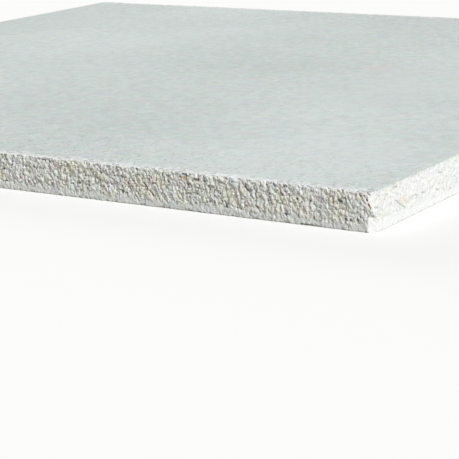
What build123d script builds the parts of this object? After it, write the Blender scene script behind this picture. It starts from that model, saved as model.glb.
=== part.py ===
from build123d import *
import os

# Drywall sheet: one moulded mineral board with a smooth face and sawn, porous edges.
# Millimetres, +Z up. The sheet lies on its back, and the origin is the centre of its underside.
# The front edge faces -Y and the right edge faces +X.

# Sheet
SHEET_LENGTH = 600.0  # along X, on the underside
SHEET_WIDTH = 600.0  # along Y
SHEET_THICKNESS = 20.0
EDGE_LEAN = 2.7  # the right edge, sawn out of square, leans in by this much at the face

# Wear where faces meet
FACE_ARRIS = 0.8  # rounding along the rim of the smooth face
BACK_ARRIS = 0.5  # rounding along the rim of the underside
CORNER_WEAR = 1.2  # rounding of the upright corners

# The near right corner is worn round at the face and has lost its foot
TOP_WEAR = 6.0  # rounding at the face, which runs out to CORNER_WEAR at the break
BREAK_HEIGHT = 9.0  # from the underside up to the break's upper rim
BREAK_RADIUS = 6.0  # the foot is round in plan

NODE = "board"


def sawn_blank():
    """The sheet as it leaves the saw, drawn as a section and drawn out along its width."""
    half_length = SHEET_LENGTH / 2
    outline = Polyline(
        (-half_length, 0),
        (half_length, 0),
        (half_length - EDGE_LEAN, SHEET_THICKNESS),
        (-half_length, SHEET_THICKNESS),
        close=True,
    )
    section = Plane.XZ * make_face(outline)
    return extrude(section, SHEET_WIDTH / 2, both=True)


def upright_corners(shape):
    """The four edges that run from the underside to the face, front ones first."""
    edges = shape.edges().filter_by(lambda edge: abs(edge.tangent_at(0.5).Z) > 0.9)
    return edges.sort_by(lambda edge: (round(edge.center().Y), edge.center().X))


def near_corner(shape):
    """The upright edge between the front edge and the right edge."""
    return upright_corners(shape)[1]


def corner_waste(height, radius):
    """Section of what a rounding of this radius takes off the near corner at this height."""
    corner_x = SHEET_LENGTH / 2 - EDGE_LEAN * height / SHEET_THICKNESS
    corner_y = -SHEET_WIDTH / 2
    rounding = CenterArc((corner_x - radius, corner_y + radius), radius, start_angle=-90, arc_size=90)
    clear_of_sheet = Polyline(
        rounding @ 1,
        (corner_x + radius, corner_y + radius),
        (corner_x + radius, corner_y - radius),
        (corner_x - radius, corner_y - radius),
        rounding @ 0,
    )
    return Plane.XY.offset(height) * make_face([rounding, clear_of_sheet])


def break_foot(blank):
    """Rounds the foot of the near corner, and wears the corner above it rounder towards the face."""
    rim = Plane.XY.offset(BREAK_HEIGHT)
    upper = split(blank, rim, keep=Keep.TOP)
    lower = split(blank, rim, keep=Keep.BOTTOM)
    upper -= loft([corner_waste(BREAK_HEIGHT, CORNER_WEAR), corner_waste(SHEET_THICKNESS, TOP_WEAR)])
    lower = fillet(near_corner(lower), BREAK_RADIUS)
    return upper + lower


def wear_corners(sheet):
    """Rounds the three whole upright corners. The near one has its own wear."""
    whole = upright_corners(sheet).filter_by(lambda edge: edge.length > SHEET_THICKNESS - BREAK_HEIGHT / 2)
    return fillet(whole, CORNER_WEAR)


def wear_rims(sheet):
    """Rounds the rim of the smooth face and the rim of the underside."""
    face_rim = sheet.faces().sort_by(Axis.Z)[-1].outer_wire().edges()
    sheet = fillet(face_rim, FACE_ARRIS)
    back_rim = sheet.faces().sort_by(Axis.Z)[0].outer_wire().edges()
    return fillet(back_rim, BACK_ARRIS)


def build_sheet():
    """One solid: sawn blank, worn and broken near corner, worn corners, worn rims."""
    sheet = break_foot(sawn_blank())
    sheet = wear_corners(sheet)
    return wear_rims(sheet)


board = build_sheet()
os.makedirs("parts", exist_ok=True)
export_step(board, f"parts/{NODE}.step")
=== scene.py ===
"""Drywall sheet: a moulded mineral board with a smooth face and sawn, porous sides.

The sheet lies on its back. Its front side faces -Y and its right side faces +X.
Names that end in _MM or _mm hold millimetres, and so do the patterns of SawnSurface.
All other lengths are metres.
"""

import math

import bmesh
import bpy
from bpy.props import FloatProperty, FloatVectorProperty, IntProperty, PointerProperty
from mathutils import Matrix, Vector, noise


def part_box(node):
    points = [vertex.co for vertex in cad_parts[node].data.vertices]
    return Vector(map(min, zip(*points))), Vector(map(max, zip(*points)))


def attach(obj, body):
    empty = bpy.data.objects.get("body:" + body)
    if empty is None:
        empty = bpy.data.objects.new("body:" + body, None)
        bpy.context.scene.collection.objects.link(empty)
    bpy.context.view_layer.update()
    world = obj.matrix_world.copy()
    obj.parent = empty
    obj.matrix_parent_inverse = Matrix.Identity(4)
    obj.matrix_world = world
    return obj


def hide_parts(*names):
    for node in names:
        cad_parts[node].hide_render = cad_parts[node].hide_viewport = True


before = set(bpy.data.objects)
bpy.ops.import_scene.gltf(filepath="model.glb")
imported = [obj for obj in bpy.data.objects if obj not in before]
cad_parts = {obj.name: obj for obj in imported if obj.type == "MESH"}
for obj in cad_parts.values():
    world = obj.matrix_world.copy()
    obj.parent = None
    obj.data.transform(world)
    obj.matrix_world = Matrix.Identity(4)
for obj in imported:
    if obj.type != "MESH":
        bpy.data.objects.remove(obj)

bl_info = {
    "name": "Drywall Sheet",
    "version": (1, 0, 0),
    "blender": (4, 5, 0),
    "location": "View3D > Sidebar > Drywall Sheet",
    "description": "Builds a sawn mineral wallboard sheet, its finishes and a plain studio",
    "category": "Add Mesh",
}

MM = 0.001
SLACK = 0.01 * MM
TRIANGLE_LIMIT = 200000
SENSOR_MM = 36.0
LAMP_DISTANCE = 2.0
WAVE_PERIOD = math.tau / 20  # of Blender's wave texture at a scale of 1
FACE_SLOT, BACK_SLOT = 1, 2  # of the materials, after the sawn core's
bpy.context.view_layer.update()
SHEET_LOW, SHEET_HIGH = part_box("board")

# Rings of the mesh: how far the underside's lies inside its rim, the angles of those on the two roundings,
# and how far those on the smooth face lie inside its rim
BACK_RING_MM = 2.0
BACK_ANGLES, FACE_ANGLES = (0, 50), (30, 60)
FACE_RINGS_MM = (0.0, 0.5, 1.1, 2.2)

# Uneven numbers that keep the noise patterns apart, and scales that draw each cell a lot of its own
CLOUD_STEP, SCATTER_STEP, CELLS_AT, CRUMBS_AT, TILT_AT = 3.1, 17.3, 61.7, 29.3, 2.5
SCATTER_LOT, CELL_LOT = 13.7, 7.3

# Streaks that the saw tears in the sides, coarse to fine: width, height and depth
STREAKS_MM = ((2.3, 2.6, 0.24), (0.95, 1.45, 0.42), (0.50, 0.80, 0.20))
# Broken grains side by side: spacing along, spacing up, how unevenly high they are, and how domed.
# A grain is level this far from its middle, out of the spacing.
CELLS_MM = (1.45, 1.80, 0.80, 0.35)
CELL_LEVEL = 0.45
# Holes in the sides, large to small: spacing along, spacing up, radius and depth, then the share of places
# with one
HOLES_MM = ((7.5, 9.0, 0.90, 1.6, 0.30), (3.8, 4.4, 0.68, 1.5, 0.42), (2.1, 2.6, 0.46, 1.0, 0.45))
# White grains that stand proud, in the same order
GRAINS_MM = ((3.1, 3.7, 0.62, 0.30, 0.45), (1.7, 2.3, 0.40, 0.22, 0.5))
# Both out of their radius: the smallest, how much larger the others get, and their core
SCATTER_LEAST, SCATTER_SPREAD, SCATTER_CORE = 0.6, 0.9, 0.35

# Patches in which the cut wanders, and smaller ones in which it is ragged: width and height
WANDER_MM, RAGGED_MM = (6.0, 9.0), (1.6, 2.0)
WANDER_DEPTH_MM, LEAST_DEPTH_MM = 0.16, 0.02
# Upper rim of the fine layer next to the underside: how it wanders, how ragged it is and how it fades
SKIN_RIM_MM = (1.3, 1.0, 0.6)
SKIN_SMOOTHNESS = 0.58
# Layer under the face, out of its depth: how it wanders, how ragged it is, where tearing starts and is full
FACE_SKIN_RIM = (0.9, 1.1, 0.3, 1.2)
TEAR_FADE_MM, TORN_FADE_MM = 0.3, 0.4
# Painted shade in the scattered holes, and what is left of a marked pit's painted shade in a clean cut
HOLE_SHADE, CLEAN_PIT_SHADE = 0.63, 0.1

# Broken foot: waves of its outline and of its flank
FOOT_WAVE_MM, FLANK_WAVE_MM = 2.0, 3.0
# Its upper rim: how far it lies above its height, how ragged it is, and its drop from the front to the right
FOOT_RIM_MM = (0.6, 0.7, 2.2)
FOOT_FADE_MM = (0.7, 1.8)  # in front and on the right
FOOT_WIDTH, FOOT_SWAY = 0.96, 0.08  # out of the rounding
FRESH_BREAK = (1.0, 0.3)
BREAK_COVER, BREAK_PALE, BREAK_RELIEF = 0.9, 0.62, 0.25

# Breaks along the face's rim: sizes of their patches, then the spacing of crumbs along and across
ARRIS_PATCHES_MM = (4.0, 1.2, 0.7)
CRUMBS_MM = (1.5, 1.2)
# Width of the broken rim down the side and in over the face: mean, coarse swing, ragged swing and least
ARRIS_SIDE_MM = (1.25, 0.9, 0.9, 0.2)
ARRIS_FACE_MM = (1.5, 0.8, 1.1, 0.3)
# Chips: reach down the side and in over the face, shares of the three patches, where they start and are full
CHIP_SIDE_MM, CHIP_FACE_MM = (2.2, 0.3), (1.8, 0.3)
CHIP_SHARES, CHIP_RANGE = (1.0, 0.8, 0.5), (0.1, 0.7)
CHIP_DEPTH_MM, CHIP_DROP_MM, CHIP_SHADE = 0.8, 0.6, 0.7
# Crumbs: tint between them, how much more they have, and how deep they are chipped
CRUMB_TINT, CRUMB_SWING, CRUMB_CHIP = 0.8, 1.3, 2.0
# The pale rim fades towards the near corner
ARRIS_LEAST, ARRIS_FADE_MM = 0.2, (2.0, 14.0)

# Chips along the underside's rim: size, height, range, depth, then how far they lift the rim and from where
LOW_CHIP_MM, LOW_CHIP_RISE_MM, LOW_CHIP_RANGE = 2.0, (1.6, 0.1), (0.05, 0.5)
LOW_CHIP_DEPTH_MM, LOW_CHIP_LIFT_MM, LOW_CHIP_REACH_MM = 0.35, 0.3, (2.0, 0.4)

# Where the relief of a side starts and is full, and how far from the near corner the cut gets calmer
ON_SIDE_MM, NEAR_STRETCH_MM = (1.3, 0.1), (70.0, 30.0)
# Paler bottom of the right side: its height, how fast it gets lower along the side, and its tint
PALER_HEIGHT_MM, PALER_FALL, PALER_TINT = (12.0, 7.0), 0.3, 0.36
# Painted shade over the top of the right side: its thin part, its thick part and the thin part's tint
RIM_SHADE_THIN_MM, RIM_SHADE_THICK_MM, RIM_SHADE_THIN_TINT = (3.3, -1.3), (0.9, 0.3), 0.7

# Single marks on the sides: how far one runs at most, its outline's waves, how ragged it is, and its core
MARK_RUN_MM, MARK_WAVE_MM, MARK_RAGGED, MARK_CORE = 16, 0.9, 0.45, 0.3
# Each mark's start, end, half width and depth, then its tint. Places count along the sides from the front
# left corner, and up from the underside.
# The tint of a pit is painted shade at its bottom.
MARKS_MM = (
    # The near corner
    ((599.2, 10.4), (599.5, 9.9), 0.48, 0.7, "pit_shade"),
    ((597.7, 13.6), (598.3, 12.2), 0.78, 1.4, "pit_shade"),
    ((596.9, 16.1), (597.2, 15.4), 0.72, 1.3, "pit_shade"),
    ((595.8, 17.9), (596.0, 17.4), 0.55, 1.0, "pit_shade"),
    ((593.5, 18.0), (593.9, 17.6), 0.52, 1.0, "pit_shade"),
    ((598.4, 18.9), (600.6, 18.1), 0.75, 0.9, "pit_shade"),
    ((593.8, 15.0), (595.6, 13.0), 0.60, -0.4, "pale"),
    ((595.3, 12.2), (595.9, 10.8), 1.10, 0.1, "stain"),
    ((595.3, 9.4), (594.6, 5.8), 0.65, -0.3, "pale"),
    # The right side, with one long fibre
    ((603.4, 15.2), (604.0, 14.6), 0.45, 0.3, "pit_shade"),
    ((602.9, 12.1), (606.5, 11.2), 0.42, 0.35, "pit_shade"),
    ((605.5, 8.5), (608.5, 6.8), 2.00, 0.0, "stain"),
    ((607.6, 16.9), (609.0, 16.3), 0.45, 0.25, "pit_shade"),
    ((612.6, 13.6), (614.6, 14.0), 0.50, 0.3, "pit_shade"),
    ((615.9, 15.8), (616.9, 15.6), 0.50, 0.3, "pit_shade"),
    ((623.4, 17.1), (628.6, 17.1), 0.46, 0.35, "pit_shade"),
    ((624.3, 19.0), (626.3, 19.2), 0.55, 0.2, "pit_shade"),
    ((625.0, 11.0), (633.4, 5.4), 0.66, 0.5, "pit_shade"),
    ((630.0, 10.4), (639.0, 8.8), 2.40, 0.0, "stain"),
    ((645.5, 9.4), (647.5, 9.0), 0.45, 0.25, "pit_shade"),
    ((652.0, 8.9), (656.4, 8.3), 0.45, 0.3, "pit_shade"),
    ((668.0, 7.4), (671.5, 6.4), 0.50, 0.3, "pit_shade"),
    ((674.0, 14.9), (677.5, 14.3), 0.55, 0.35, "pit_shade"),
    ((683.0, 4.8), (686.5, 4.2), 0.50, 0.3, "pit_shade"),
    # The front side, from the near corner to the left
    ((590.4, 6.2), (591.0, 5.7), 0.55, 1.0, "pit_shade"),
    ((586.6, 5.4), (587.2, 5.3), 0.60, 1.1, "pit_shade"),
    ((583.6, 5.4), (584.2, 5.2), 0.60, 1.1, "pit_shade"),
    ((585.0, 16.0), (585.6, 15.3), 0.50, 0.8, "pit_shade"),
    ((581.2, 14.2), (583.0, 13.9), 0.90, 0.9, "pit_shade"),
    ((579.5, 13.4), (584.5, 12.6), 2.40, 0.1, "stain"),
    ((570.0, 17.5), (571.4, 6.0), 0.38, -0.3, "pale"),
    ((559.2, 6.2), (560.4, 4.6), 0.60, -0.3, "pale"),
    ((558.8, 0.0), (564.8, 0.0), 1.00, 1.4, "skin"),
    ((550.4, 4.6), (550.9, 4.0), 0.55, 0.8, "pit_shade"),
    ((550.0, 15.0), (550.4, 14.2), 0.55, 0.9, "pit_shade"),
    ((546.0, 19.2), (546.5, 18.0), 0.50, 0.9, "pit_shade"),
    ((534.3, 6.6), (534.8, 5.9), 0.45, 0.8, "pit_shade"),
    ((528.8, 15.8), (530.4, 14.2), 0.55, 1.0, "pit_shade"),
    ((526.4, 15.8), (526.9, 13.6), 0.60, -0.3, "pale"),
    ((515.8, 7.4), (516.8, 4.2), 0.40, 0.8, "pit_shade"),
    ((513.6, 11.3), (514.1, 10.7), 0.45, 0.8, "pit_shade"),
    ((490.2, 17.6), (493.6, 17.0), 1.70, 0.1, "wood"),
    ((492.0, 19.0), (495.6, 18.2), 0.55, 0.9, "pit_shade"),
    ((495.6, 17.8), (497.8, 13.4), 1.10, -0.3, "pale"),
    ((499.0, 17.0), (499.6, 16.4), 0.80, 0.8, "pit_shade"),
    ((471.4, 6.8), (472.0, 5.8), 0.65, 1.0, "pit_shade"),
    ((468.0, 9.0), (474.0, 6.0), 2.60, 0.1, "stain"),
    ((466.8, 12.2), (469.4, 9.8), 0.50, 0.9, "pit_shade"),
    ((463.4, 19.0), (463.8, 18.2), 0.55, 0.9, "pit_shade"),
    ((457.2, 9.0), (458.2, 8.2), 0.55, 0.9, "pit_shade"),
    ((453.0, 14.4), (453.6, 13.6), 0.55, 0.9, "pit_shade"),
    ((451.0, 9.0), (452.2, 7.4), 0.70, -0.3, "pale"),
    ((439.6, 15.4), (440.2, 14.6), 0.60, 1.0, "pit_shade"),
    ((435.6, 10.4), (436.2, 9.6), 0.50, 0.8, "pit_shade"),
    ((421.0, 1.9), (422.6, 1.3), 0.60, -0.2, "pale"),
    ((420.8, 18.9), (421.2, 18.2), 0.45, 0.8, "pit_shade"),
    ((413.6, 11.0), (414.6, 9.6), 0.60, -0.3, "pale"),
    ((410.2, 9.8), (410.8, 9.0), 0.55, 0.9, "pit_shade"),
    ((406.4, 18.4), (407.4, 17.6), 0.50, 0.8, "pit_shade"),
    ((404.0, 16.4), (409.0, 14.6), 2.10, 0.1, "stain"),
    ((401.6, 18.9), (403.4, 18.5), 0.50, 0.8, "pit_shade"),
)

# Patterns of the smooth face, how far the mould's polish draws the first two out, and where the bands start
PATCHY_MM, FINE_MM, BROAD_MM, BAND_MM, FACE_TINT_MM = 4.5, 0.7, 130, 370, 11
POLISH, BAND_START = (1.0, 0.8, 1.0), math.radians(316)
# Shares of the fine, the broad and the banded one in the mottling, the range that shows, and the tint
MOTTLE_SHARES, MOTTLE_RANGE, FACE_TINTING = (0.5, 0.2, 0.075), (0.37, 0.63), 0.11
# Saw dust along its front and rear rims: where it starts, where it is full by the patchy pattern (a swing and
# an offset), its cover, and where it fades in from the rims' ends
FACE_DUST_MM, FACE_DUST_FULL_MM, FACE_DUST_COVER, FACE_DUST_ENDS_MM = 7.5, (12, -3), 0.8, (4, 30)
# Spots and soft clouds on the smooth face: place, radius, colour and strength
FACE_SPOTS = (
    ((0.1709, -0.1155), 1.5 * MM, "#F4F6F4", 0.7),
    ((0.2424, -0.2358), 1.3 * MM, "#7C8480", 0.8),
    ((0.1262, 0.0350), 15 * MM, "#D2C6C4", 0.35),
    ((0.2350, -0.2400), 90 * MM, "#DCE3E1", 0.25),
    ((0.1900, -0.0300), 110 * MM, "#B5BDBA", 0.22),
    ((-0.2700, 0.1700), 100 * MM, "#B5BDBA", 0.25),
)
SPOT_CORE = 0.3
# Pale crumbs and painted-shade dents next to the face's front and rear rims, then fine pale dust and dark
# specks that reach further in. From where to where they get denser, how, their strength, spacing, share of
# places, size and colour.
SPECKS_MM = (
    (12, 2, "LINEAR", 1.0, 2.2, 0.7, 0.9, "pale"),
    (12, 2, "LINEAR", 0.55, 2.9, 0.5, 0.7, "pit_shade"),
    (120, 10, "SMOOTHSTEP", 0.36, 1.9, 0.7, 0.7, "pale"),
    (120, 10, "SMOOTHSTEP", 0.36, 2.3, 0.4, 0.7, "pit_shade"),
)
# Dots fade over this much of their size
DOT_FADE = 0.4

# Patterns of the core: grains, clouds of fibre and binder, tints and the finest grain
CORE_CELL_MM, FIBRE_MM, CORE_TINT_MM, CORE_FINE_MM = 1.4, 11, 5, 0.6
# How much the clouds and a grain's own lot decide whether it is stained, the range of both, and its stain
CLOUD_SWING, LOT_SWING, STAINED_RANGE, STAINED = 3.4, 0.6, (0.2, 0.9), 0.5
# How torn the core is where it starts to look clean and where that is full, and how clean it looks
CLEAN_RANGE, CLEAN_COVER = (0.6, 0.32), 0.8
# Tint of the core: how it changes where the cut is clean, and what it is elsewhere
CORE_TINTING = (-0.35, 0.5)
# Pores and white grains of the core: spacing, share of places and size out of the spacing
PORES_MM, WHITES_MM = (1.6, 0.55, 0.66), (1.3, 0.60, 0.66)
# How strongly painted shade darkens the pores
PORE_SHADE = 0.72
# Where the core starts to take a tint, and how strongly it takes each one
TINT_START = 0.05
# The tints of pits and of the right side's top rim are painted shade.
TINTS = {"skin": 0.85, "pale": 0.95, "stain": 0.3, "wood": 0.8, "arris": 0.9, "drawn": 1.0, "pit_shade": 0.95}

# Patterns of the underside, then its pores' spacing, and their rim and bottom out of it
BACK_PATCHY_MM, BACK_FINE_MM, BACK_PORES_MM, BACK_PORE_SIZE = 25, 1.6, 4, (0.16, 0.10)
# How deep the finishes look
FACE_BUMP_MM, CORE_BUMP_MM, BACK_BUMP_MM = 0.12, 0.35, 0.25


def linear(hex_colour):
    """A linear colour from an sRGB hex value such as #CDD3D1."""
    channels = [int(hex_colour[i : i + 2], 16) / 255 for i in (1, 3, 5)]
    return tuple(c / 12.92 if c <= 0.04045 else ((c + 0.055) / 1.055) ** 2.4 for c in channels)


def length(name, description, default):
    """A length that the sidebar shows in scene units."""
    return FloatProperty(name=name, description=description, default=default, unit="LENGTH", precision=5)


def plain(name, description, default):
    """A plain number in the sidebar."""
    return FloatProperty(name=name, description=description, default=default)


def angle(name, description, degrees):
    """An angle that the sidebar shows in degrees."""
    return FloatProperty(name=name, description=description, default=math.radians(degrees), subtype="ANGLE")


def colour(name, description, hex_colour):
    """A colour that the sidebar shows as a swatch."""
    default = linear(hex_colour)
    return FloatVectorProperty(
        name=name, description=description, default=default, subtype="COLOR", size=3, min=0.0, max=1.0
    )


def ramp(value, low, high):
    """0 at low, 1 at high, and smooth between. low may be the larger of the two."""
    t = min(max((value - low) / (high - low), 0.0), 1.0)
    return t * t * (3 - 2 * t)


def mix(low, high, t):
    """low where t is 0, high where t is 1."""
    return low + (high - low) * t


class SheetShape(bpy.types.PropertyGroup):
    """The sheet's outline and its wear, as the solid has them"""

    # The wear takes 0.07 mm off the solid's length, so it is rounded to the millimetre.
    length: length("Length", "Length along X, on the underside", round(SHEET_HIGH.x - SHEET_LOW.x, 3))
    width: length("Width", "Width along Y", SHEET_HIGH.y - SHEET_LOW.y)
    thickness: length("Thickness", "From the underside to the smooth face", SHEET_HIGH.z - SHEET_LOW.z)
    edge_lean: length("Edge lean", "How far the right side leans in, sawn out of square", 2.7 * MM)
    face_arris: length("Face arris", "Rounding along the rim of the smooth face", 0.8 * MM)
    back_arris: length("Back arris", "Rounding along the rim of the underside", 0.5 * MM)
    corner_wear: length("Corner wear", "Rounding of the upright corners", 1.2 * MM)
    near_corner_wear: length("Near corner wear", "Rounding of the near corner at the face", 6.0 * MM)
    break_height: length("Break height", "Height of the near corner's broken foot", 9.0 * MM)
    break_radius: length("Break radius", "The broken foot's rounding in plan", 6.0 * MM)
    break_flatness: plain("Break flatness", "1 where the broken foot is flat, 0 where round", 0.65)
    break_taper: plain("Break taper", "The broken foot's width at its top, out of below", 0.65)
    break_skew: plain("Break skew", "How much further the foot is broken on the right", 0.18)


class SawnGrain(bpy.types.PropertyGroup):
    """The relief that the saw leaves on the porous core"""

    fine_pitch: length("Fine pitch", "Spacing of the mesh next to the near corner", 0.36 * MM)
    coarse_pitch: length("Coarse pitch", "Spacing of the mesh along the rest of the sides", 1.3 * MM)
    fine_reach_front: length("Fine reach, front", "How far the fine mesh runs along the front side", 236 * MM)
    fine_reach_right: length("Fine reach, right", "How far the fine mesh runs along the right side", 106 * MM)
    rows: IntProperty(name="Rows", description="Rows between the arrises, doubled where fine", default=20)
    streak_lean: angle("Streak lean", "How far the saw's streaks lean from upright", 4)
    right_tear: plain("Right tear", "How rough the cleaner cut on the right is, out of the others", 0.62)
    near_tear: plain("Near tear", "How rough the cut is next to the near corner, out of elsewhere", 0.88)
    back_skin: length("Back skin", "Depth of the fine layer next to the underside", 3.9 * MM)
    face_skin: length("Face skin", "Depth of the fine layer under the smooth face", 0.6 * MM)
    mean_depth: length("Mean depth", "How far the torn surface lies inside the sheet's outline", 0.55 * MM)
    seed: IntProperty(name="Seed", description="Changes where the holes and grains lie", default=7)


class SheetColours(bpy.types.PropertyGroup):
    """Colours of the board's faces, core and fibres, and of its painted shade"""

    face: colour("Face", "Smooth moulded face", "#CFD6D4")
    face_dark: colour("Face, dark", "Fine mottling of the smooth face", "#B5BDBA")
    face_dust: colour("Face, dust", "Saw dust pressed into the face along its rim", "#DADFDD")
    core: colour("Core", "Sawn core between its grains", "#F4F6F1")
    core_dark: colour("Core, dark", "Denser grains of the core", "#E0E3DC")
    core_warm: colour("Core, warm", "Grains stained by the wood fibre", "#DFD9C5")
    core_cool: colour("Core, cool", "Grains of nearly pure binder", "#DFE1E6")
    cut: colour("Clean cut", "Core where the saw cut it cleanly", "#E2E4E4")
    pale: colour("Pale grain", "Broken white grains of the filler", "#F5F6F8")
    # The pit colour is painted shade: it darkens holes, pores and dents where shade falls in them.
    pit_shade: colour("Pits", "Bottom of the holes", "#6F6B61")
    skin: colour("Skin", "Fine layer next to the underside", "#E1E5E4")
    arris: colour("Arris", "Broken mineral along the rim of the smooth face", "#F2F5F1")
    # Painted shade over the top of the right side, in the face's grey.
    drawn: colour("Drawn skin", "Skin of the face, drawn down over the right rim", "#B7BFBC")
    back: colour("Back", "Underside, cast against the carrier", "#CBCBC2")
    back_pale: colour("Back, pale", "Pale clouds of the underside", "#D6D6CE")
    back_dark: colour("Back, dark", "Fine dark grain of the underside", "#B4B3A8")
    stain: colour("Stain", "Core stained round a wood fibre", "#D6D0B2")
    wood: colour("Wood", "Wood fibre in the core", "#CDBF99")


class Studio(bpy.types.PropertyGroup):
    """Camera, lamps and floor"""

    lens: plain("Lens", "Focal length in mm", 131.28)
    camera_place: FloatVectorProperty(
        name="Camera",
        description="Where the camera stands",
        default=(0.65481, -0.98251, 0.20),
        subtype="TRANSLATION",
    )
    azimuth: angle("Azimuth", "How far the camera is turned about Z", 32.638)
    elevation: angle("Elevation", "How far the camera looks down", 14.31)
    roll: angle("Roll", "Tilt of the horizon", -1.748)
    floor_size: length("Floor size", "Side of the floor", 12.0)
    floor: colour("Floor", "Pale floor, as it lights the sheet", "#BFBCB2")
    floor_seen: colour("Floor, seen", "Pale floor, as the camera sees it", "#FCFCFB")
    sky: plain("Sky", "Strength of the even light from all round", 0.33)
    key: plain("Key", "Strength of the lamp on the right", 3.14)
    key_softness: angle("Key softness", "Angle that the lamp fills", 6)
    key_from: FloatVectorProperty(
        name="Key from", description="Direction of the lamp", default=(0.72, -0.30, 0.60), subtype="XYZ"
    )
    fill: plain("Fill", "Strength of the weak lamp behind", 1.1)
    fill_softness: angle("Fill softness", "Angle that the weak lamp fills", 18)
    fill_from: FloatVectorProperty(
        name="Fill from", description="Direction of the weak lamp", default=(-0.80, 0.58, 0.17), subtype="XYZ"
    )


GROUPS = {
    "drywall_shape": SheetShape,
    "drywall_grain": SawnGrain,
    "drywall_colours": SheetColours,
    "drywall_studio": Studio,
}


# Mesh of the sheet


def fine_limits(shape, grain):
    """Where the fine mesh starts: X on the front side, Y on the right side."""
    return shape.length / 2 - grain.fine_reach_front, grain.fine_reach_right - shape.width / 2


def is_fine(edge, limits):
    """Whether an edge's middle lies on the stretch with the fine mesh."""
    middle = (edge.verts[0].co + edge.verts[1].co) / 2
    near_front = middle.y < 0 and middle.x > limits[0] - SLACK
    near_right = middle.x > 0 and middle.y < limits[1] + SLACK
    return near_front or near_right


def plan_ring(bm, shape, grain):
    """The sheet's outline in plan, as a ring of edges that is finer near the near corner."""
    bmesh.ops.create_grid(bm, x_segments=1, y_segments=1, size=0.5)
    bmesh.ops.scale(bm, vec=(shape.length, shape.width, 1), verts=bm.verts[:])
    worn = {"affect": "VERTICES", "offset": shape.corner_wear, "segments": 3, "profile": 0.5, "material": -1}
    bmesh.ops.bevel(bm, geom=bm.verts[:], **worn)
    bmesh.ops.delete(bm, geom=bm.faces[:], context="FACES_ONLY")
    limits = fine_limits(shape, grain)
    for place, normal in (((limits[0], 0, 0), (1, 0, 0)), ((0, limits[1], 0), (0, 1, 0))):
        bmesh.ops.bisect_plane(bm, geom=bm.verts[:] + bm.edges[:], plane_co=place, plane_no=normal)
    for edge in bm.edges[:]:
        pitch = grain.fine_pitch if is_fine(edge, limits) else grain.coarse_pitch
        cuts = round(edge.calc_length() / pitch) - 1
        if cuts > 0:
            bmesh.ops.subdivide_edges(bm, edges=[edge], cuts=cuts)
    return bm.edges[:]


def rim_rows(shape, grain):
    """(inset, height) of each ring of the mesh, from the flat of the underside to the flat of the face."""
    thickness = shape.thickness
    back, face = shape.back_arris, shape.face_arris
    rows = [(back + BACK_RING_MM * MM, 0.0)]
    turned = [math.radians(degrees) for degrees in BACK_ANGLES]
    rows += [(back * (1 - math.sin(a)), back * (1 - math.cos(a))) for a in turned]
    side_low, side_high = back, thickness - face
    rows += [(0.0, side_low + (side_high - side_low) * i / grain.rows) for i in range(grain.rows + 1)]
    turned = [math.radians(degrees) for degrees in FACE_ANGLES]
    rows += [(face * (1 - math.cos(a)), thickness - face * (1 - math.sin(a))) for a in turned]
    rows += [(face + extra * MM, thickness) for extra in FACE_RINGS_MM]
    return rows


def raise_rows(bm, ring, shape, rows):
    """Extrudes the ring from row to row and closes the mesh with one flat face at each end."""
    half = Vector((shape.length / 2, shape.width / 2))
    last_inset, last_height = rows[0]
    bmesh.ops.scale(bm, vec=(1 - last_inset / half.x, 1 - last_inset / half.y, 1), verts=bm.verts[:])
    bmesh.ops.contextual_create(bm, geom=ring)
    for inset, height in rows[1:]:
        made = bmesh.ops.extrude_edge_only(bm, edges=ring)["geom"]
        ring = [item for item in made if isinstance(item, bmesh.types.BMEdge)]
        verts = [item for item in made if isinstance(item, bmesh.types.BMVert)]
        grow = [(h - inset) / (h - last_inset) for h in half]
        bmesh.ops.scale(bm, vec=(*grow, 1), verts=verts)
        bmesh.ops.translate(bm, vec=(0, 0, height - last_height), verts=verts)
        last_inset, last_height = inset, height
    bmesh.ops.contextual_create(bm, geom=ring)
    bmesh.ops.recalc_face_normals(bm, faces=bm.faces[:])


def refine_rows(bm, shape, grain):
    """Halves the rows where the mesh is fine."""
    limits = fine_limits(shape, grain)
    tall = (shape.thickness - shape.face_arris - shape.back_arris) / grain.rows / 2
    upright = [edge for edge in bm.edges if abs(edge.verts[0].co.z - edge.verts[1].co.z) > tall]
    bmesh.ops.subdivide_edges(bm, edges=[edge for edge in upright if is_fine(edge, limits)], cuts=1)


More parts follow.
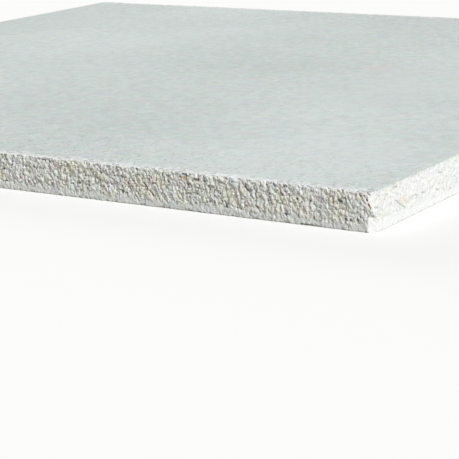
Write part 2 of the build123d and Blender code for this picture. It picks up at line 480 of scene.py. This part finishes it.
class SawnSurface:
    """Says where each point of the plain sheet goes, and what the saw and the wear did to it."""

    # The tints of pits and of the right side's top rim are painted shade.
    LAYERS = ("torn", "pit_shade", "pale", "skin", "arris", "drawn", "stain", "wood")

    def __init__(self, shape, grain):
        self.shape, self.grain = shape, grain
        self.half_x, self.half_y = shape.length / 2, shape.width / 2
        self.lean = math.tan(grain.streak_lean)

    def along(self, x, y):
        """Distance round the sheet, counted from the front left corner."""
        half_x, half_y = self.half_x, self.half_y
        if half_y - abs(y) <= half_x - abs(x):
            return x + half_x if y < 0 else 3 * half_x + 2 * half_y - x
        return 2 * half_x + half_y + y if x > 0 else 4 * half_x + 3 * half_y - y

    def outward(self, x, y):
        """Unit vector in plan that points out of the sheet's side, and zero further in."""
        reach = self.shape.corner_wear
        right, front = self.half_x - reach, self.half_y - reach
        arm = Vector((x - math.copysign(min(abs(x), right), x), y - math.copysign(min(abs(y), front), y), 0))
        return arm.normalized()

    def cloud(self, along, up, width, height, number):
        """Smooth noise between about -1 and 1, in patches of this size. number picks the pattern."""
        return noise.noise(Vector((along / width, up / height, self.grain.seed + CLOUD_STEP * number)))

    def scatter(self, along, up, kinds, number):
        """How deep this point lies in a scattered hole or grain, and how near its middle it is.

        number picks the pattern, and each further kind has the next one.
        """
        depth = nearness = 0.0
        for spacing_along, spacing_up, radius, most, share in kinds:
            number += 1
            point = Vector((along / spacing_along, up / spacing_up, self.grain.seed + SCATTER_STEP * number))
            distances, places = noise.voronoi(point)
            chance = 0.5 + 0.5 * noise.noise(places[0] * SCATTER_LOT)
            if chance < share:
                size = radius * (SCATTER_LEAST + SCATTER_SPREAD * chance / share)
                near = ramp(distances[0] * spacing_along, size, SCATTER_CORE * size)
                depth, nearness = max(depth, most * near), max(nearness, near)
        return depth, nearness

    def marks(self, along, up):
        """Depth and tints of the single marks at this place."""
        depth, tints = 0.0, {}
        for start, end, half_width, most, tint in MARKS_MM:
            if abs(along - start[0]) > MARK_RUN_MM:
                continue
            run = Vector(end) - Vector(start)
            arm = Vector((along, up)) - Vector(start)
            t = min(max(arm.dot(run) / run.length_squared, 0.0), 1.0)
            wave = self.cloud(along, up, MARK_WAVE_MM, MARK_WAVE_MM, number=41)
            reach = half_width * (1 + MARK_RAGGED * wave)
            near = ramp((arm - run * t).length, reach, reach * MARK_CORE)
            depth += most * near
            tints[tint] = max(tints.get(tint, 0.0), near)
        return depth, tints

    def relief(self, along, up, tear):
        """Depth of the sawn side at this place, and its tints. tear is how roughly it was cut."""
        from_face = self.shape.thickness / MM - up
        slant = along + self.lean * up
        wander = self.cloud(along, up, *WANDER_MM, number=1)
        ragged = self.cloud(along, up, *RAGGED_MM, number=2)
        wandering, raggedness, fade = SKIN_RIM_MM
        skin_top = self.grain.back_skin / MM + wandering * wander + raggedness * ragged
        skin = ramp(up, skin_top + fade, skin_top - fade)
        wandering, raggedness, start, full = FACE_SKIN_RIM
        face_skin = self.grain.face_skin / MM * (1 + wandering * wander + raggedness * ragged)
        cut = tear * (1 - SKIN_SMOOTHNESS * skin)
        rough = cut * ramp(from_face, face_skin * start, face_skin * full + TEAR_FADE_MM)
        depth = self.grain.mean_depth / MM + WANDER_DEPTH_MM * wander
        for number, (width, height, most) in enumerate(STREAKS_MM, start=5):
            depth += rough * most * self.cloud(slant, up, width, height, number)
        spacing_along, spacing_up, uneven, dome = CELLS_MM
        place = Vector((slant / spacing_along, up / spacing_up, self.grain.seed + CELLS_AT))
        distances, places = noise.voronoi(place)
        depth += rough * (uneven * noise.noise(places[0] * CELL_LOT) + dome * (distances[0] - CELL_LEVEL))
        hole, pit_shade = self.scatter(slant, up, HOLES_MM, number=0)
        proud, pale = self.scatter(slant, up, GRAINS_MM, number=7)
        depth += rough * (hole - proud)
        mark_depth, tints = self.marks(along, up)
        depth += mark_depth
        tints["torn"] = cut * tear * ramp(from_face, 0.0, TORN_FADE_MM)
        # Painted shade darkens the marked pits and the scattered holes.
        tints["pit_shade"] = max(tints.get("pit_shade", 0.0) * mix(CLEAN_PIT_SHADE, 1.0, tear), rough * pit_shade * HOLE_SHADE)
        tints["pale"] = max(tints.get("pale", 0.0), rough * pale * (1 - pit_shade))
        tints["skin"] = max(tints.get("skin", 0.0), skin)
        return max(depth, LEAST_DEPTH_MM), tints

    def near_corner(self, x, y, up):
        """Carries a point of the near corner in to its worn or broken outline.

        Returns its new place, the way out of the sheet there and how broken the place is.
        """
        shape = self.shape
        from_right, from_front = self.half_x - x, y + self.half_y
        reach = max(shape.break_radius * (1 + shape.break_skew), shape.near_corner_wear)
        if from_right >= reach or from_front >= reach:
            return x, y, self.outward(x, y), 0.0
        ragged = noise.noise(Vector((x, y, 0.0)) / (FOOT_WAVE_MM * MM))
        sway = noise.noise(Vector((up / (FLANK_WAVE_MM * MM), TILT_AT, 0.0)))
        # turn is 0 in front of the corner and 1 on its right.
        turn = (min(from_front, reach) + reach - min(from_right, reach)) / (2 * reach)
        lift, raggedness, fall = FOOT_RIM_MM
        rim = shape.break_height + (lift + raggedness * ragged - fall * turn) * MM
        fade = mix(*FOOT_FADE_MM, turn) * MM
        broken = ramp(up, rim + fade, rim - fade)
        rise = max(up - rim, 0.0) / (shape.thickness - rim)
        worn = mix(shape.corner_wear, shape.near_corner_wear, rise)
        foot = shape.break_radius * (FOOT_WIDTH + FOOT_SWAY * sway) * mix(1.0, shape.break_taper, up / rim)
        radius = min(mix(worn, foot, broken), reach)
        skew = shape.break_skew * broken
        width, depth = radius * (1 - skew), radius * (1 + skew)
        if from_right >= width or from_front >= depth:
            return x, y, self.outward(x, y), 0.0
        arm = Vector((1 - from_right / width, 1 - from_front / depth))
        if arm.length > 1:
            arm.normalize()
        freshly = broken * ramp(arm.x, *FRESH_BREAK)
        arm *= mix(1.0, 1 / (arm.x + arm.y), shape.break_flatness * broken)
        out = Vector((arm.x / width, -arm.y / depth, 0)).normalized()
        return self.half_x - width * (1 - arm.x), depth * (1 - arm.y) - self.half_y, out, freshly

    def arris(self, along, from_face, inset):
        """How much of the face's rim is broken mineral here, and how far it is chipped away."""
        across = from_face - inset
        coarse_patch, ragged_patch, fine_patch = ARRIS_PATCHES_MM
        coarse = self.cloud(along, 0.0, coarse_patch, 1.0, number=11)
        ragged = self.cloud(along, across, ragged_patch, ragged_patch, number=12)
        fine = self.cloud(along, across, fine_patch, fine_patch, number=13)
        place = Vector((along / CRUMBS_MM[0], across / CRUMBS_MM[1], self.grain.seed + CRUMBS_AT))
        crumb = noise.noise(noise.voronoi(place)[1][0] * CELL_LOT)
        broken = 1.0
        for from_rim, width in ((from_face, ARRIS_SIDE_MM), (inset, ARRIS_FACE_MM)):
            mean, swing, raggedness, least = width
            broken = min(broken, ramp(from_rim, mean + swing * coarse + raggedness * ragged, least))
        chipping = sum(share * patch for share, patch in zip(CHIP_SHARES, (coarse, ragged, fine)))
        chip = ramp(from_face, *CHIP_SIDE_MM) * ramp(chipping, *CHIP_RANGE)
        tint = broken * min(CRUMB_TINT + CRUMB_SWING * crumb, 1.0) * (1 - CHIP_SHADE * chip)
        return tint, max(chip, broken * max(CRUMB_CHIP * crumb, 0.0))

    def place(self, point):
        """New place of one point of the plain sheet, and its tints in the order of LAYERS."""
        shape, mean_mm = self.shape, self.grain.mean_depth / MM
        x, y, up = point
        inset_mm = min(self.half_x - abs(x), self.half_y - abs(y)) / MM
        along_mm, up_mm, from_face_mm = self.along(x, y) / MM, up / MM, (shape.thickness - up) / MM
        on_side = ramp(inset_mm, *ON_SIDE_MM)
        x, y, out, broken = self.near_corner(x, y, up)
        from_right_mm, from_front_mm = (self.half_x - x) / MM, (y + self.half_y) / MM
        right = max(out.x, 0.0)
        tear = mix(1.0, self.grain.right_tear, right**2)
        tear *= mix(1.0, self.grain.near_tear, ramp(from_right_mm, *NEAR_STRETCH_MM))
        depth, tints = self.relief(along_mm, up_mm, tear)
        tints = {name: value * on_side * (1 - BREAK_COVER * broken) for name, value in tints.items()}
        # The right side gets paler towards its bottom.
        paler_low = ramp(up_mm + PALER_FALL * from_front_mm, *PALER_HEIGHT_MM)
        paling = PALER_TINT * right * max(tints["skin"], paler_low)
        tints["pale"] = max(tints["pale"], BREAK_PALE * broken, paling)
        tints["arris"], chip = self.arris(along_mm, from_face_mm, inset_mm)
        tints["arris"] *= mix(ARRIS_LEAST, 1.0, ramp(from_right_mm, *ARRIS_FADE_MM))
        # Painted shade darkens the top of the right side.
        thin = RIM_SHADE_THIN_TINT * ramp(from_face_mm, *RIM_SHADE_THIN_MM)
        tints["drawn"] = right**2 * max(thin, ramp(from_face_mm, *RIM_SHADE_THICK_MM))
        depth = mix(depth, mean_mm + BREAK_RELIEF * (depth - mean_mm), broken) + CHIP_DEPTH_MM * chip
        low_chip = ramp(self.cloud(along_mm, 0.0, LOW_CHIP_MM, 1.0, number=14), *LOW_CHIP_RANGE)
        low_chip *= ramp(up_mm, *LOW_CHIP_RISE_MM)
        depth += LOW_CHIP_DEPTH_MM * low_chip * tear**2
        lift = LOW_CHIP_LIFT_MM * low_chip * tear * ramp(inset_mm, *LOW_CHIP_REACH_MM)
        drop = CHIP_DROP_MM * chip * ramp(inset_mm, *CHIP_FACE_MM)
        x -= out.x * on_side * depth * MM
        y -= out.y * on_side * depth * MM
        lean = shape.edge_lean * (up / shape.thickness) * (x + self.half_x) / shape.length
        place = Vector((x - lean, y, max(up + (lift - drop) * MM, 0.0)))
        return place, [tints.get(name, 0.0) for name in self.LAYERS]


def shade_zones(bm, shape):
    """Gives the smooth face, the sawn sides and the underside their own material slots."""
    for face in bm.faces:
        face.smooth = True
        height = face.calc_center_median().z
        if height > shape.thickness - SLACK:
            face.material_index = FACE_SLOT
        elif height < SLACK:
            face.material_index = BACK_SLOT


# Materials


def open_socket(sockets, name=None):
    """The first socket that the node uses as it is set, or the first of that name."""
    return next(socket for socket in sockets if socket.enabled and name in (None, socket.name))


def set_inputs(tree, made, inputs):
    """Gives each of a node's sockets a value, or an output or a node to link from."""
    for name, value in inputs.items():
        socket = made.inputs[name] if isinstance(name, int) else open_socket(made.inputs, name)
        if isinstance(value, bpy.types.Node):
            value = open_socket(value.outputs)
        if isinstance(value, bpy.types.NodeSocket):
            tree.links.new(value, socket)
        else:
            socket.default_value = (*value, 1.0) if socket.type == "RGBA" else value


def node(tree, kind, inputs=None, **settings):
    """Adds a shader node with its settings, values and links."""
    made = tree.nodes.new("ShaderNode" + kind)
    for name, value in settings.items():
        setattr(made, name, value)
    set_inputs(tree, made, inputs or {})
    return made


def new_material(name, surface):
    """A material with its shader's own values set. Returns the material, its tree and the shader."""
    material = bpy.data.materials.new(name)
    material.use_nodes = True
    tree = material.node_tree
    shader = tree.nodes["Principled BSDF"]
    set_inputs(tree, shader, surface)
    return material, tree, shader


def dots(tree, where, spacing_mm, share, size):
    """Round dots of uneven size, 1 in their middle.

    share is how many places have one, and size is the largest radius out of the spacing.
    """
    cells = node(tree, "TexVoronoi", {"Vector": where, "Scale": 1 / (spacing_mm * MM)})
    lot = node(tree, "SeparateColor", {"Color": cells.outputs["Color"]}).outputs["Blue"]
    radius = node(tree, "MapRange", {"Value": lot, "From Min": 1 - share, "To Max": size})
    inside = node(tree, "Math", {0: radius, 1: cells.outputs["Distance"]}, operation="SUBTRACT")
    return node(tree, "MapRange", {"Value": inside, "From Max": DOT_FADE * size})


def moulded_face(colours, shape):
    """Mineral face cast against a polished mould: matt and even, with a fine mottling and faint tints."""
    material, tree, shader = new_material("moulded_mineral_face", {"Roughness": 0.62, "IOR": 1.5})
    where = node(tree, "TexCoord").outputs["Object"]
    # The mould was polished along Y, which draws the pattern out a little that way.
    drawn_out = node(tree, "Mapping", {"Vector": where, "Scale": POLISH})
    patchy = node(tree, "TexNoise", {"Vector": drawn_out, "Scale": 1 / (PATCHY_MM * MM), "Detail": 3.0})
    # The real grain is about 0.1 mm across, and is drawn coarser so that it shows.
    fine = node(tree, "TexNoise", {"Vector": drawn_out, "Scale": 1 / (FINE_MM * MM), "Detail": 1.0})
    broad = node(tree, "TexNoise", {"Vector": where, "Scale": 1 / (BROAD_MM * MM), "Detail": 1.0})
    # Faint bands run along Y, the way the board left its mould.
    bands = {"Vector": where, "Scale": WAVE_PERIOD / (BAND_MM * MM), "Phase Offset": BAND_START}
    bands |= {"Distortion": 1.2, "Detail": 1.0, "Detail Scale": 12.0}
    bands = node(tree, "TexWave", bands).outputs["Fac"]
    grain = patchy
    for share, pattern in zip(MOTTLE_SHARES, (fine, broad, bands)):
        grain = node(tree, "Mix", {"Factor": share, "A": grain, "B": pattern})
    mottle = {"Value": grain, "From Min": MOTTLE_RANGE[0], "From Max": MOTTLE_RANGE[1]}
    mottle = node(tree, "MapRange", mottle)
    tone = node(tree, "Mix", {"Factor": mottle, "A": colours.face_dark, "B": colours.face}, data_type="RGBA")
    # The binder dries unevenly, which leaves faint green, blue and pink clouds.
    tint = {"Vector": where, "Scale": 1 / (FACE_TINT_MM * MM), "Detail": 2.0}
    tint = node(tree, "TexNoise", tint).outputs["Color"]
    tone = {"Factor": FACE_TINTING, "A": tone, "B": tint}
    tone = node(tree, "Mix", tone, data_type="RGBA", blend_type="OVERLAY")
    # Saw dust lightens the last few millimetres before the front and rear rims, but not at their ends.
    insets = node(tree, "VectorMath", {0: where}, operation="ABSOLUTE")
    insets = {0: (shape.length / 2, shape.width / 2, 0.0), 1: insets}
    insets = node(tree, "VectorMath", insets, operation="SUBTRACT")
    insets = node(tree, "SeparateXYZ", {"Vector": insets}).outputs
    swing, offset = FACE_DUST_FULL_MM
    full = node(tree, "Math", {0: patchy, 1: swing * MM, 2: offset * MM}, operation="MULTIPLY_ADD")
    paling = {"Value": insets["Y"], "From Min": FACE_DUST_MM * MM, "From Max": full, "To Max": FACE_DUST_COVER}
    paling = node(tree, "MapRange", paling, interpolation_type="SMOOTHSTEP")
    start, full = FACE_DUST_ENDS_MM
    mid_rim = node(tree, "MapRange", {"Value": insets["X"], "From Min": start * MM, "From Max": full * MM})
    layers = [(node(tree, "Math", {0: paling, 1: mid_rim}, operation="MULTIPLY"), colours.face_dust)]
    # The dents next to the rims are darkened with painted shade.
    for start, end, fade, strength, spacing, share, size, name in SPECKS_MM:
        near = {"Value": insets["Y"], "From Min": start * MM, "From Max": end * MM, "To Max": strength}
        near = node(tree, "MapRange", near, interpolation_type=fade)
        specks = {0: near, 1: dots(tree, where, spacing, share, size)}
        layers.append((node(tree, "Math", specks, operation="MULTIPLY"), getattr(colours, name)))
    layers.append((node(tree, "Attribute", attribute_name="arris").outputs["Fac"], colours.arris))
    for place, radius, hex_colour, strength in FACE_SPOTS:
        reach = node(tree, "VectorMath", {0: where, 1: (*place, shape.thickness)}, operation="DISTANCE")
        spot = {"Value": reach, "From Min": radius, "From Max": SPOT_CORE * radius, "To Max": strength}
        layers.append((node(tree, "MapRange", spot, interpolation_type="SMOOTHSTEP"), linear(hex_colour)))
    for amount, laid in layers:
        tone = node(tree, "Mix", {"Factor": amount, "A": tone, "B": laid}, data_type="RGBA")
    bump = node(tree, "Bump", {"Strength": 0.25, "Distance": FACE_BUMP_MM * MM, "Height": grain})
    set_inputs(tree, shader, {"Base Color": tone, "Normal": bump})
    return material


def sawn_core(colours):
    """Porous mineral core torn by a saw: pale broken grains, holes in painted shade, tints from wood fibre.
    """
    material, tree, shader = new_material("sawn_mineral_core", {"Roughness": 0.85, "IOR": 1.5})
    where = node(tree, "TexCoord").outputs["Object"]
    cells = node(tree, "TexVoronoi", {"Vector": where, "Scale": 1 / (CORE_CELL_MM * MM)})
    cell = node(tree, "SeparateColor", {"Color": cells.outputs["Color"]}).outputs
    tone = {"Factor": cell["Red"], "A": colours.core_dark, "B": colours.core}
    tone = node(tree, "Mix", tone, data_type="RGBA")
    layers = []
    # Fibre and binder lie in clouds, so stained grains gather in some and clean grains in the others.
    clouds = node(tree, "TexNoise", {"Vector": where, "Scale": 1 / (FIBRE_MM * MM), "Detail": 3.0})
    kinds = (("Green", CLOUD_SWING, colours.core_warm), ("Blue", -CLOUD_SWING, colours.core_cool))
    start, full = STAINED_RANGE
    for lot, swing, tinted in kinds:
        near = node(tree, "Math", {0: clouds, 1: swing, 2: -swing / 2}, operation="MULTIPLY_ADD")
        near = node(tree, "Math", {0: cell[lot], 1: LOT_SWING, 2: near}, operation="MULTIPLY_ADD")
        share = {"Value": near, "From Min": start, "From Max": full, "To Max": STAINED}
        layers.append((node(tree, "MapRange", share), tinted))
    torn = node(tree, "Attribute", attribute_name="torn").outputs["Fac"]
    clean = {"Value": torn, "From Min": CLEAN_RANGE[0], "From Max": CLEAN_RANGE[1], "To Max": CLEAN_COVER}
    clean = node(tree, "MapRange", clean)
    layers.append((clean, colours.cut))
    for name, strength in TINTS.items():
        carried = node(tree, "Attribute", attribute_name=name).outputs["Fac"]
        amount = node(tree, "MapRange", {"Value": carried, "From Min": TINT_START, "To Max": strength})
        layers.append((amount, getattr(colours, name)))
    for amount, laid in layers:
        tone = node(tree, "Mix", {"Factor": amount, "A": tone, "B": laid}, data_type="RGBA")
    # Faint lilac, green and warm clouds lie where the mix of binder and fibre changes.
    # A clean cut shows them less.
    tint = {"Vector": where, "Scale": 1 / (CORE_TINT_MM * MM), "Detail": 3.0}
    tint = node(tree, "TexNoise", tint).outputs["Color"]
    tinting = {0: clean, 1: CORE_TINTING[0], 2: CORE_TINTING[1]}
    tinting = node(tree, "Math", tinting, operation="MULTIPLY_ADD")
    tone = {"Factor": tinting, "A": tone, "B": tint}
    tone = node(tree, "Mix", tone, data_type="RGBA", blend_type="OVERLAY")
    # Pores and broken grains are 0.1 to 0.6 mm across, and are drawn coarser so that they show.
    # Painted shade darkens the pores, and the low parts of the finest grain.
    core_pore_shade = node(tree, "Math", {0: dots(tree, where, *PORES_MM), 1: torn}, operation="MULTIPLY")
    core_pore_shade = node(tree, "Math", {0: core_pore_shade, 1: PORE_SHADE}, operation="MULTIPLY")
    white = node(tree, "Math", {0: dots(tree, where, *WHITES_MM), 1: torn}, operation="MULTIPLY")
    fine = {"Vector": where, "Scale": 1 / (CORE_FINE_MM * MM), "Detail": 3.0, "Roughness": 0.75}
    fine = node(tree, "TexNoise", fine)
    shadow = {"Value": fine, "From Min": 0.35, "From Max": 0.55, "To Min": 0.25, "To Max": 0.0}
    shadow = node(tree, "MapRange", shadow)
    for amount, tinted in ((white, colours.pale), (core_pore_shade, colours.pit_shade), (shadow, colours.pit_shade)):
        tone = node(tree, "Mix", {"Factor": amount, "A": tone, "B": tinted}, data_type="RGBA")
    height = node(tree, "Math", {0: fine, 1: core_pore_shade}, operation="SUBTRACT")
    height = node(tree, "Math", {0: height, 1: white}, operation="ADD")
    bump = node(tree, "Bump", {"Strength": torn, "Distance": CORE_BUMP_MM * MM, "Height": height})
    set_inputs(tree, shader, {"Base Color": tone, "Normal": bump})
    return material


def cast_back(colours):
    """Underside as cast on its carrier: matt, a little greyer, with small open pores."""
    material, tree, shader = new_material("cast_mineral_back", {"Roughness": 0.8, "IOR": 1.5})
    where = node(tree, "TexCoord").outputs["Object"]
    patchy = node(tree, "TexNoise", {"Vector": where, "Scale": 1 / (BACK_PATCHY_MM * MM), "Detail": 3.0})
    patchy = node(tree, "MapRange", {"Value": patchy, "From Min": 0.35, "From Max": 0.65})
    tone = node(tree, "Mix", {"Factor": patchy, "A": colours.back, "B": colours.back_pale}, data_type="RGBA")
    fine = {"Vector": where, "Scale": 1 / (BACK_FINE_MM * MM), "Detail": 4.0, "Roughness": 0.7}
    fine = node(tree, "TexNoise", fine)
    grain = {"Value": fine, "From Min": 0.3, "From Max": 0.7, "To Min": 0.35, "To Max": 0.0}
    grain = node(tree, "MapRange", grain)
    # Painted shade darkens the small open pores.
    pores = node(tree, "TexVoronoi", {"Vector": where, "Scale": 1 / (BACK_PORES_MM * MM)})
    back_pore_shade = {"Value": pores, "From Min": BACK_PORE_SIZE[0], "From Max": BACK_PORE_SIZE[1], "To Max": 0.6}
    back_pore_shade = node(tree, "MapRange", back_pore_shade)
    for amount, tinted in ((grain, colours.back_dark), (back_pore_shade, colours.pit_shade)):
        tone = node(tree, "Mix", {"Factor": amount, "A": tone, "B": tinted}, data_type="RGBA")
    height = node(tree, "Math", {0: fine, 1: back_pore_shade}, operation="SUBTRACT")
    bump = node(tree, "Bump", {"Strength": 0.4, "Distance": BACK_BUMP_MM * MM, "Height": height})
    set_inputs(tree, shader, {"Base Color": tone, "Normal": bump})
    return material


# Operators


def add_piece(name, bm, materials):
    """Turns a finished bmesh into an object of the scene."""
    mesh = bpy.data.meshes.new(name)
    bm.to_mesh(mesh)
    bm.free()
    for material in materials:
        mesh.materials.append(material)
    piece = bpy.data.objects.new(name, mesh)
    bpy.context.scene.collection.objects.link(piece)
    return piece


class DRYWALL_OT_sheet(bpy.types.Operator):
    """Build the sheet with its sawn sides, worn arrises and broken corner"""

    bl_idname = "drywall.sheet"
    bl_label = "Sheet"

    def execute(self, context):
        scene = context.scene
        shape, grain, colours = scene.drywall_shape, scene.drywall_grain, scene.drywall_colours
        bm = bmesh.new()
        ring = plan_ring(bm, shape, grain)
        raise_rows(bm, ring, shape, rim_rows(shape, grain))
        refine_rows(bm, shape, grain)
        shade_zones(bm, shape)
        surface = SawnSurface(shape, grain)
        layers = [bm.verts.layers.float.new(name) for name in surface.LAYERS]
        for vert in bm.verts:
            vert.co, values = surface.place(vert.co)
            for layer, value in zip(layers, values):
                vert[layer] = value
        triangles = sum(len(face.verts) - 2 for face in bm.faces)
        if triangles >= TRIANGLE_LIMIT:
            raise RuntimeError(f"the sheet has {triangles} triangles")
        # In the order of the slots
        finishes = [sawn_core(colours), moulded_face(colours, shape), cast_back(colours)]
        sheet = add_piece("sawn_board", bm, finishes)
        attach(sheet, "root")
        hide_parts("board")
        return {"FINISHED"}


class DRYWALL_OT_studio(bpy.types.Operator):
    """Lay the pale floor, hang the soft light and set the camera"""

    bl_idname = "drywall.studio"
    bl_label = "Studio"

    def execute(self, context):
        studio = context.scene.drywall_studio
        lay_floor(studio)
        light_world(studio)
        hang_lamp("key", studio.key, studio.key_softness, studio.key_from)
        fill = hang_lamp("fill", studio.fill, studio.fill_softness, studio.fill_from)
        fill.visible_glossy = False
        stand_camera(studio)
        return {"FINISHED"}


def seen_directly(tree):
    """1 where the camera sees a surface itself, or in a reflection or through glass."""
    path = node(tree, "LightPath").outputs
    seen = node(tree, "Math", {0: path["Is Camera Ray"], 1: path["Is Glossy Ray"]}, operation="MAXIMUM")
    return node(tree, "Math", {0: seen, 1: path["Is Transmission Ray"]}, operation="MAXIMUM")


def lay_floor(studio):
    """A wide pale floor that shows white where the light is full, and keeps the sheet's shadow."""
    bm = bmesh.new()
    bmesh.ops.create_grid(bm, x_segments=1, y_segments=1, size=studio.floor_size / 2)
    material, tree, shader = new_material("pale_floor", {"Roughness": 0.9, "Specular IOR Level": 0.0})
    tone = {"Factor": seen_directly(tree), "A": studio.floor, "B": studio.floor_seen}
    tone = node(tree, "Mix", tone, data_type="RGBA")
    set_inputs(tree, shader, {"Base Color": tone})
    floor = add_piece("floor", bm, [material])


def light_world(studio):
    """Even light from all round, with a white sky where it is seen."""
    world = bpy.data.worlds.new("studio_sky")
    bpy.context.scene.world = world
    world.use_nodes = True
    tree = world.node_tree
    strength = node(tree, "MapRange", {"Value": seen_directly(tree), "To Min": studio.sky, "To Max": 1.0})
    set_inputs(tree, tree.nodes["Background"], {"Color": linear("#FFFFFF"), "Strength": strength})


def hang_lamp(name, strength, softness, direction):
    """A soft lamp. The key rakes along the front side, and the fill lights the two sides behind."""
    lamp = bpy.data.lights.new(name, "SUN")
    lamp.energy = strength
    lamp.angle = softness
    hung = bpy.data.objects.new(name, lamp)
    towards = Vector(direction)
    hung.rotation_euler = towards.to_track_quat("Z", "Y").to_euler()
    hung.location = towards * LAMP_DISTANCE
    bpy.context.scene.collection.objects.link(hung)
    return hung


def stand_camera(studio):
    """The camera where the photograph was taken from."""
    camera = bpy.data.objects.new("camera", bpy.data.cameras.new("camera"))
    camera.data.lens = studio.lens
    camera.data.sensor_width = SENSOR_MM
    turn = Matrix.Rotation(studio.azimuth, 4, "Z")
    turn @= Matrix.Rotation(math.pi / 2 - studio.elevation, 4, "X")
    turn @= Matrix.Rotation(studio.roll, 4, "Z")
    camera.matrix_world = Matrix.Translation(studio.camera_place) @ turn
    bpy.context.scene.collection.objects.link(camera)
    bpy.context.scene.camera = camera


class DRYWALL_PT_panel(bpy.types.Panel):
    """Sizes, colours and build steps of the drywall sheet"""

    bl_label = "Drywall Sheet"
    bl_idname = "DRYWALL_PT_panel"
    bl_space_type = "VIEW_3D"
    bl_region_type = "UI"
    bl_category = "Drywall Sheet"

    def draw(self, context):
        for operator in OPERATORS:
            self.layout.operator(operator.bl_idname)
        for name in GROUPS:
            group = getattr(context.scene, name)
            box = self.layout.box()
            for prop in group.bl_rna.properties:
                if prop.identifier not in ("rna_type", "name"):
                    box.prop(group, prop.identifier)


OPERATORS = (DRYWALL_OT_sheet, DRYWALL_OT_studio)
CLASSES = (*GROUPS.values(), *OPERATORS, DRYWALL_PT_panel)


def register():
    for cls in CLASSES:
        bpy.utils.register_class(cls)
    for name, group in GROUPS.items():
        setattr(bpy.types.Scene, name, PointerProperty(type=group))


def unregister():
    for name in GROUPS:
        delattr(bpy.types.Scene, name)
    for cls in reversed(CLASSES):
        bpy.utils.unregister_class(cls)


def main():
    register()
    bpy.ops.drywall.sheet()
    bpy.ops.drywall.studio()
    bpy.context.scene.view_settings.view_transform = "Standard"
    bpy.context.view_layer.update()


if __name__ == "__main__":
    main()
